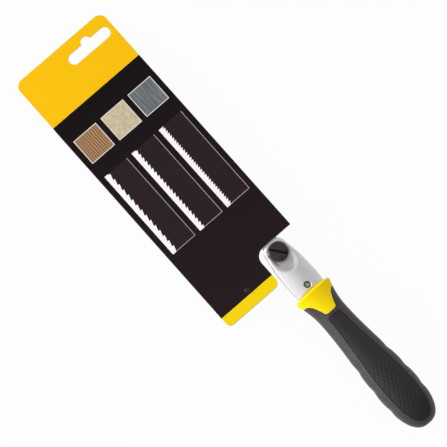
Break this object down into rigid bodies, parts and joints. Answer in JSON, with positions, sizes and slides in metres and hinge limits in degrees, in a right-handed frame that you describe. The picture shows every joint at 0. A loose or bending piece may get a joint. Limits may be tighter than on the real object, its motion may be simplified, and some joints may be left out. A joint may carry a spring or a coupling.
{
  "type": "multipurpose hand saw",
  "caption": "Hand saw with an oval rubber grip and a cast clamp head that holds a removable metal blade, in a hang-card sleeve that also stores a wood blade.",
  "frame": {"origin": "on the clamp screw's axis, in the middle of the mounted blade's thickness", "axes": "+X along the blade from the handle to its tip, +Y to the toothed edge, +Z out of the front face, square to the blade"},
  "size_m": [0.3548, 0.0768, 0.0248],
  "materials": {
    "core_plastic": "moulded polypropylene, satin",
    "grip_rubber": "moulded thermoplastic rubber, fine matt texture",
    "panel_plastic": "moulded plastic with a diamond texture",
    "cast_jaw": "die-cast alloy, satin plated",
    "black_steel": "black oxide steel",
    "plain_steel": "zinc plated steel",
    "blade_steel": "ground spring steel",
    "sleeve_card": "printed and varnished board",
    "rivet_plastic": "moulded nylon"
  },
  "bodies": {
    "handle": {"handle_core": "core_plastic", "grip_overmould": "grip_rubber", "front_grip_panel": "panel_plastic", "rear_grip_panel": "panel_plastic", "rear_jaw": "cast_jaw", "clamp_nut": "plain_steel", "heel_screw": "black_steel", "jaw_spring": "plain_steel", "tang_pins": "plain_steel"},
    "jaw": {"front_jaw": "cast_jaw"},
    "washer": {"clamp_washer": "plain_steel"},
    "screw": {"clamp_screw": "black_steel"},
    "blade": {"metal_blade": "blade_steel"},
    "sleeve": {"sleeve_front_panel": "sleeve_card", "sleeve_back_panel": "sleeve_card", "rivet_stud": "rivet_plastic", "rivet_cap": "rivet_plastic", "wood_blade": "blade_steel"}
  },
  "joints": [
    {"name": "blade_slide", "type": "slide", "parent": "handle", "child": "blade", "axis": [1, 0, 0], "range_m": [0, 0.03]},
    {"name": "sleeve_slide", "type": "slide", "parent": "blade", "child": "sleeve", "axis": [1, 0, 0], "range_m": [0, 0.16]},
    {"name": "washer_lift", "type": "slide", "parent": "handle", "child": "washer", "axis": [0, 0, 1], "range_m": [0, 0.003]},
    {"name": "clamp_screw_turn", "type": "hinge", "parent": "washer", "child": "screw", "pos_m": [0, 0, 0], "axis": [0, 0, 1], "range_deg": [0, 1081]},
    {"name": "jaw_open", "type": "hinge", "parent": "handle", "child": "jaw", "pos_m": [-0.0335, 0, 0.00045], "axis": [0, -1, 0], "range_deg": [0, 0.92], "deforming": ["jaw_spring"]}
  ],
  "couplings": [
    {"joint": "clamp_screw_turn", "follows": "washer_lift", "rad_per_m": 6283.2},
    {"joint": "jaw_open", "follows": "washer_lift", "rad_per_m": 5.236}
  ]
}
